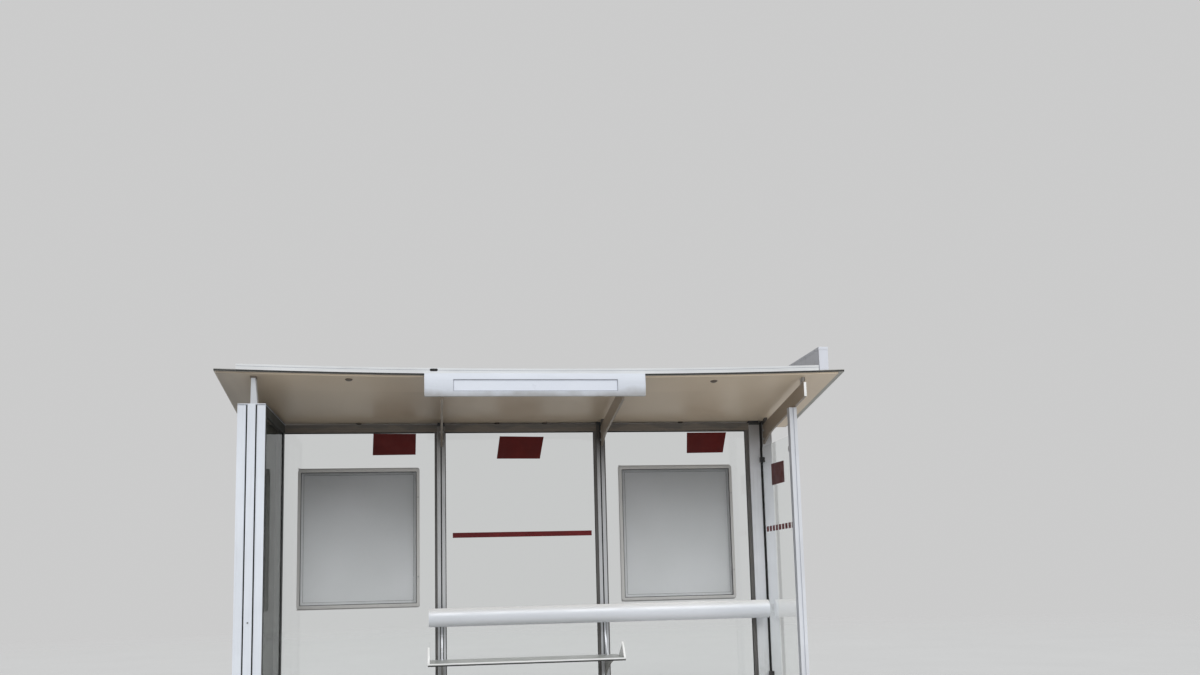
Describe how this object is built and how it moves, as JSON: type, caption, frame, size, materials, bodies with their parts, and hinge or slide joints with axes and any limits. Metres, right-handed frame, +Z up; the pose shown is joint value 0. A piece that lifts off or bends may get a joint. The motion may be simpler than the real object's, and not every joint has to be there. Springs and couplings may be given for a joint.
{
  "type": "bus shelter",
  "caption": "Cantilevered bus shelter with glazed back and side, display box, wall cases, leaning rail and seat under a sloping roof.",
  "frame": {"origin": "on the ground, under the middle of the bounding box", "axes": "+X along the shelter, to the right as seen from the street; +Y from the street side to the back wall; +Z up"},
  "size_m": [4.383, 1.384, 2.632],
  "materials": {
    "roof_skin": "matt paint",
    "soffit": "semi-gloss beige-grey paint",
    "bright_trim": "satin",
    "seal": "matt",
    "sign_box": "satin paint",
    "sign_housing": "silver satin paint",
    "sign_panel": "white, gloss",
    "frame_grey": "silver-grey satin paint",
    "dark_cap": "matt",
    "zinc_plate": "galvanised",
    "clear_glass": "clear",
    "lamp_panel": "white paint",
    "blank_sheet": "blank, matt",
    "case_metal": "satin anodised",
    "rail_metal": "satin"
  },
  "bodies": {
    "root": {"arm_2": "frame_grey", "arm_3": "frame_grey", "arm_4": "frame_grey", "back_glass_1": "clear_glass", "back_glass_2": "clear_glass", "back_glass_3": "clear_glass", "bottom_rails": "frame_grey", "box_base_plate": "zinc_plate", "box_plinth": "frame_grey", "box_roof_pad": "seal", "box_roof_supports": "frame_grey", "case_1_sheet": "blank_sheet", "case_1_tray": "case_metal", "case_2_sheet": "blank_sheet", "case_2_tray": "case_metal", "corner_post": "frame_grey", "corner_post_seal": "seal", "display_box_body": "frame_grey", "display_box_lamp_panel": "lamp_panel", "display_box_lock": "zinc_plate", "fascia_seal": "seal", "foot_plates": "zinc_plate", "front_fascia": "bright_trim", "front_post": "frame_grey", "header_sign_brackets": "frame_grey", "header_sign_end_caps": "sign_housing", "header_sign_housing": "sign_housing", "header_sign_panel": "sign_panel", "leaning_rail": "rail_metal", "leaning_rail_brackets": "frame_grey", "leaning_rail_caps": "rail_metal", "post_1": "frame_grey", "post_2": "frame_grey", "post_3": "frame_grey", "post_caps": "dark_cap", "poster_inner": "blank_sheet", "poster_outer": "blank_sheet", "roof_end_trims": "bright_trim", "roof_sheet": "roof_skin", "roof_sign_box": "sign_box", "roof_soffit": "soffit", "roof_spacers": "frame_grey", "seat_gussets": "frame_grey", "seat_hangers": "rail_metal", "seat_sheet": "rail_metal", "side_glass": "clear_glass", "side_glass_clamps": "frame_grey", "top_rails": "frame_grey"},
    "case_1_cover": {"case_1_door": "case_metal", "case_1_glass": "clear_glass"},
    "case_2_cover": {"case_2_door": "case_metal", "case_2_glass": "clear_glass"},
    "outer_box_door": {"box_door_outer": "frame_grey", "box_door_glass_outer": "clear_glass"},
    "inner_box_door": {"box_door_inner": "frame_grey", "box_door_glass_inner": "clear_glass"}
  },
  "joints": [
    {"name": "case_1_hinge", "type": "hinge", "parent": "root", "child": "case_1_cover", "pos_m": [-1.7535, 0.478, 0.836], "axis": [0, 0, -1], "range_deg": [0, 90]},
    {"name": "case_2_hinge", "type": "hinge", "parent": "root", "child": "case_2_cover", "pos_m": [0.7145, 0.478, 0.836], "axis": [0, 0, -1], "range_deg": [0, 90]},
    {"name": "outer_box_door_hinge", "type": "hinge", "parent": "root", "child": "outer_box_door", "pos_m": [-2, -0.536, 0.25], "axis": [0, 0, 1], "range_deg": [0, 90]},
    {"name": "inner_box_door_hinge", "type": "hinge", "parent": "root", "child": "inner_box_door", "pos_m": [-1.909, -0.536, 0.25], "axis": [0, 0, -1], "range_deg": [0, 90]}
  ]
}
